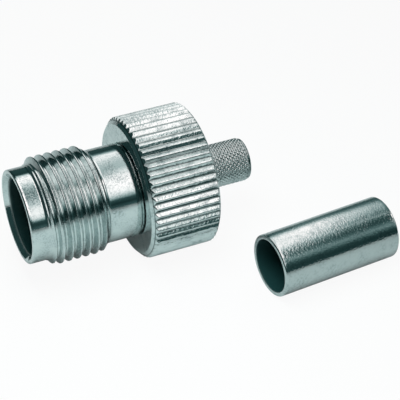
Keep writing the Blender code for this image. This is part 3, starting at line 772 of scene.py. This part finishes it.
# Brightness of the light tent round the X axis, from the camera's side (0 degrees) over the top to the far side
# (180). Each part of it starts at a place along X, as a share of its radius, and fades in up to a second one. Its
# stops are (angle, level), where 0 is black and 1 is a white card.
TENT_RADIUS = 0.35
TENT_PARTS = (
    (-1.00, -0.99, ((0, 0.06), (180, 0.06))),
    (-0.12, -0.03, ((0, 0.15), (10, 0.04), (21, 0.06), (33, 1.20), (44, 1.75), (56, 1.95), (104, 1.95),
                    (126, 1.60), (134, 1.10), (140, 0.03), (180, 0.04))),
    # The nose mirrors this part
    (0.09, 0.125, ((0, 0.15), (10, 0.05), (17, 0.08), (26, 1.10), (36, 1.32), (48, 1.25), (60, 0.85), (72, 0.50),
                    (84, 0.36), (94, 0.42), (104, 0.85), (116, 1.25), (128, 1.55), (138, 1.45), (147, 0.05),
                    (180, 0.08))),
    # The barrel mirrors this part
    (0.215, 0.235, ((0, 0.13), (10, 0.03), (20, 0.08), (28, 0.75), (36, 1.30), (46, 1.55), (62, 1.60), (74, 1.45),
                    (86, 1.02), (96, 0.68), (106, 0.68), (118, 0.84), (132, 1.28), (143, 1.28), (151, 0.25),
                    (158, 0.06), (180, 0.08))),
    # The collar mirrors this part
    (0.28, 0.30, ((0, 0.10), (24, 0.12), (34, 0.85), (48, 1.70), (66, 1.95), (84, 1.85), (102, 1.50), (124, 1.00),
                  (144, 0.90), (160, 0.08), (180, 0.10))),
    # The stem mirrors this part
    (0.345, 0.38, ((0, 0.12), (12, 0.06), (30, 0.12), (44, 0.65), (60, 0.95), (80, 1.20), (100, 1.45), (140, 1.50),
                   (150, 0.95), (162, 0.28), (180, 0.15))),
    (0.395, 0.43, ((0, 0.10), (12, 0.06), (26, 0.08), (36, 0.16), (46, 0.48), (56, 0.25), (66, 0.32), (84, 0.72),
                   (98, 1.45), (138, 1.45), (152, 0.70), (164, 0.20), (180, 0.15))),
    (0.455, 0.50, ((0, 0.08), (12, 0.04), (26, 0.07), (42, 0.33), (54, 0.13), (66, 0.06), (84, 0.15), (98, 1.50),
                   (138, 1.50), (155, 0.10), (180, 0.10))),
    (0.61, 0.65, ((0, 0.03), (24, 0.04), (34, 0.30), (46, 1.00), (60, 1.70), (76, 1.95), (134, 1.90), (155, 0.10),
                  (180, 0.10))),
    (0.78, 0.86, ((0, 0.12), (180, 0.12))),
)
# The grey flag over the ferrule, which mirrors it darker and darker towards its far end
FLAG_RADIUS = 0.09
FLAG_CUTS = (((0.46, 0, 0), (-1, 0, 0)), ((0, 0, 0), (0, -0.9945, -0.1045)))
FLAG_PARTS = (
    (-1.00, -0.99, ((0, 0.00), (84, 1.15), (98, 1.65), (132, 1.85), (146, 1.35), (158, 0.38), (180, 0.15))),
    (0.465, 0.52, ((0, 0.00), (84, 0.36), (100, 0.70), (122, 0.98), (136, 0.85), (150, 0.36), (162, 0.13),
                   (180, 0.15))),
    (0.54, 0.60, ((0, 0.00), (84, 0.14), (100, 0.32), (122, 0.44), (136, 0.38), (150, 0.18), (162, 0.11),
                  (180, 0.12))),
    (0.60, 0.68, ((0, 0.00), (84, 0.08), (100, 0.20), (122, 0.28), (136, 0.24), (150, 0.12), (180, 0.12))),
)
# A dome is cut off just above the floor
FLOOR_CUT = ((0, 0, 0.0014), (0, 0, -1))

# The camera's place in mm and its axes, from a perspective fit to the photographed view
CAMERA_PLACE = Vector((-49.405, -111.003, 98.242)) * MM
CAMERA_RIGHT = Vector((0.91271, -0.40861, 0))
CAMERA_UP = Vector((0.24537, 0.54807, 0.79963))
CAMERA_FORWARD = Vector((0.32674, 0.72983, -0.60049))


def light_cloth(name, radius, parts, cuts):
    """Dome over the set, or part of one. Its long strips of light and dark run beside the jack, which mirrors
    them as bands. Each cut is a plane's point, in shares of the radius, and the direction of what is cut away.
    """
    dome = bmesh.new()
    bmesh.ops.create_icosphere(dome, subdivisions=5, radius=radius)
    for point, away in (FLOOR_CUT, *cuts):
        bmesh.ops.bisect_plane(dome, geom=dome.verts[:] + dome.edges[:] + dome.faces[:],
                               plane_co=Vector(point) * radius, plane_no=away, clear_outer=True)
    mesh = bpy.data.meshes.new(name)
    dome.to_mesh(mesh)
    dome.free()
    material, tree = new_material(name)
    place = add_node(tree, "ShaderNodeTexCoord").outputs["Object"]
    direction = add_node(tree, "ShaderNodeVectorMath", {0: place}, operation="NORMALIZE")
    along = add_node(tree, "ShaderNodeSeparateXYZ", {0: direction}).outputs
    towards = add_node(tree, "ShaderNodeMath", {0: 0.0, 1: along["Y"]}, operation="SUBTRACT")
    arc = add_node(tree, "ShaderNodeMath", {0: along["Z"], 1: towards}, operation="ARCTAN2")
    share = add_node(tree, "ShaderNodeMath", {0: arc, 1: math.pi}, operation="DIVIDE")
    level = 0.0
    for start, end, stops in parts:
        strips = add_node(tree, "ShaderNodeValToRGB", {0: share})
        elements = strips.color_ramp.elements
        # A new ramp has two stops, and the first one is kept. The levels are halved, since colours stay below 1
        elements.remove(elements[-1])
        elements[0].color = (stops[0][1] / 2,) * 3 + (1,)
        for angle, brightness in stops[1:]:
            elements.new(angle / 180).color = (brightness / 2,) * 3 + (1,)
        beyond = add_node(tree, "ShaderNodeMapRange", {
            0: along["X"], 1: start, 2: end}, interpolation_type="SMOOTHSTEP")
        level = add_node(tree, "ShaderNodeMix", {0: beyond, 2: level, 3: strips})
    # The light is teal where it is faint and warm where it is strong
    glow = add_node(tree, "ShaderNodeMath", {0: level, 1: 2.0}, operation="MULTIPLY")
    red = add_node(tree, "ShaderNodeMath", {0: glow, 1: 1.3}, operation="POWER")
    paint = add_node(tree, "ShaderNodeCombineColor", {0: red, 1: glow, 2: glow})
    light = add_node(tree, "ShaderNodeEmission", {"Color": paint, "Strength": 1.07})
    add_node(tree, "ShaderNodeOutputMaterial", {"Surface": light})
    mesh.materials.append(material)
    cloth = bpy.data.objects.new(name, mesh)
    bpy.context.scene.collection.objects.link(cloth)
    # It lights the set and shows in the metal, and the camera looks through it
    cloth.visible_camera = False


class JACK_OT_studio(bpy.types.Operator):
    """Pale floor, light tent, grey flag, overhead lamp, white room and camera"""
    bl_idname = "jack.studio"
    bl_label = "Studio"

    def execute(self, context):
        finish = context.scene.jack_finish
        floor_mesh = bpy.data.meshes.new("floor")
        reach = 3.0
        corners = [(-reach, -reach, 0), (reach, -reach, 0), (reach, reach, 0), (-reach, reach, 0)]
        floor_mesh.from_pydata(corners, [], [(0, 1, 2, 3)])
        floor = bpy.data.objects.new("floor", floor_mesh)
        context.scene.collection.objects.link(floor)
        material, tree = new_material("pale_floor")
        # Nearly white to the camera, with a trace of the object's shadow left in it, and grey where it is mirrored
        ray = add_node(tree, "ShaderNodeLightPath").outputs
        mirrored = add_node(tree, "ShaderNodeMath", {
            0: ray["Is Glossy Ray"], 1: ray["Is Transmission Ray"]}, operation="MAXIMUM")
        mirrored_share = add_node(tree, "ShaderNodeMath", {0: mirrored, 1: 0.06}, operation="MULTIPLY")
        seen_share = add_node(tree, "ShaderNodeMath", {0: ray["Is Camera Ray"], 1: 0.93}, operation="MULTIPLY")
        white_share = add_node(tree, "ShaderNodeMath", {0: mirrored_share, 1: seen_share}, operation="MAXIMUM")
        paint = add_node(tree, "ShaderNodeBsdfDiffuse", {"Color": (*finish.floor, 1)})
        glow = add_node(tree, "ShaderNodeEmission", {"Color": (1, 1, 1, 1), "Strength": 1.0})
        mixed = add_node(tree, "ShaderNodeMixShader", {0: white_share, 1: paint, 2: glow})
        add_node(tree, "ShaderNodeOutputMaterial", {"Surface": mixed})
        floor_mesh.materials.append(material)

        light_cloth("light_tent", TENT_RADIUS, TENT_PARTS, ())
        light_cloth("grey_flag", FLAG_RADIUS, FLAG_PARTS, FLAG_CUTS)
        # A soft lamp overhead, which the metal doesn't mirror. It lights the floor and the insulators
        lamp_data = bpy.data.lights.new("overhead", "AREA")
        lamp_data.shape = "RECTANGLE"
        lamp_data.size, lamp_data.size_y = 0.03, 0.06
        lamp_data.energy = 0.068
        lamp = bpy.data.objects.new("overhead", lamp_data)
        lamp.location = (-0.018, -0.016, 0.068)
        lamp.visible_glossy = False
        lamp.visible_camera = False
        context.scene.collection.objects.link(lamp)

        world = bpy.data.worlds.new("white_room")
        world.use_nodes = True
        world.node_tree.nodes.clear()
        light = add_node(world.node_tree, "ShaderNodeBackground", {"Color": (1, 1, 1, 1), "Strength": 1.0})
        add_node(world.node_tree, "ShaderNodeOutputWorld", {"Surface": light})
        context.scene.world = world

        camera_data = bpy.data.cameras.new("camera")
        camera_data.sensor_width = 36
        camera_data.lens = 135
        camera_data.clip_start = 0.001
        camera_data.clip_end = 100
        camera = bpy.data.objects.new("camera", camera_data)
        context.scene.collection.objects.link(camera)
        turn = Matrix((CAMERA_RIGHT, CAMERA_UP, -CAMERA_FORWARD)).transposed().to_4x4()
        camera.matrix_world = Matrix.Translation(CAMERA_PLACE) @ turn
        context.scene.camera = camera

        context.scene.view_settings.view_transform = "Standard"
        return {"FINISHED"}


class JACK_PT_sidebar(bpy.types.Panel):
    """A button that builds each piece, and boxes with their sizes and colours"""
    bl_label = "Coaxial jack"
    bl_idname = "JACK_PT_sidebar"
    bl_space_type = "VIEW_3D"
    bl_region_type = "UI"
    bl_category = "Jack"

    def draw(self, context):
        for operator in OPERATORS:
            self.layout.operator(operator.bl_idname)
        for name, group in GROUPS.items():
            box = self.layout.box()
            for item in group.__annotations__:
                box.prop(getattr(context.scene, name), item)


OPERATORS = (
    JACK_OT_studio,
    JACK_OT_threaded_shell,
    JACK_OT_knurled_collar,
    JACK_OT_crimp_stem,
    JACK_OT_insulators,
    JACK_OT_socket_contact,
    JACK_OT_crimp_ferrule,
)
GROUPS = {
    "jack_shell": ShellSizes,
    "jack_collar": CollarSizes,
    "jack_stem": StemSizes,
    "jack_ferrule": FerruleSizes,
    "jack_finish": FinishColours,
}


def register():
    for kind in (*GROUPS.values(), *OPERATORS, JACK_PT_sidebar):
        bpy.utils.register_class(kind)
    for name, group in GROUPS.items():
        setattr(bpy.types.Scene, name, PointerProperty(type=group))


def unregister():
    for name in GROUPS:
        delattr(bpy.types.Scene, name)
    for kind in reversed((*GROUPS.values(), *OPERATORS, JACK_PT_sidebar)):
        bpy.utils.unregister_class(kind)


def main():
    register()
    bpy.ops.jack.studio()
    bpy.ops.jack.threaded_shell()
    bpy.ops.jack.knurled_collar()
    bpy.ops.jack.crimp_stem()
    bpy.ops.jack.insulators()
    bpy.ops.jack.socket_contact()
    bpy.ops.jack.crimp_ferrule()


if __name__ == "__main__":
    main()
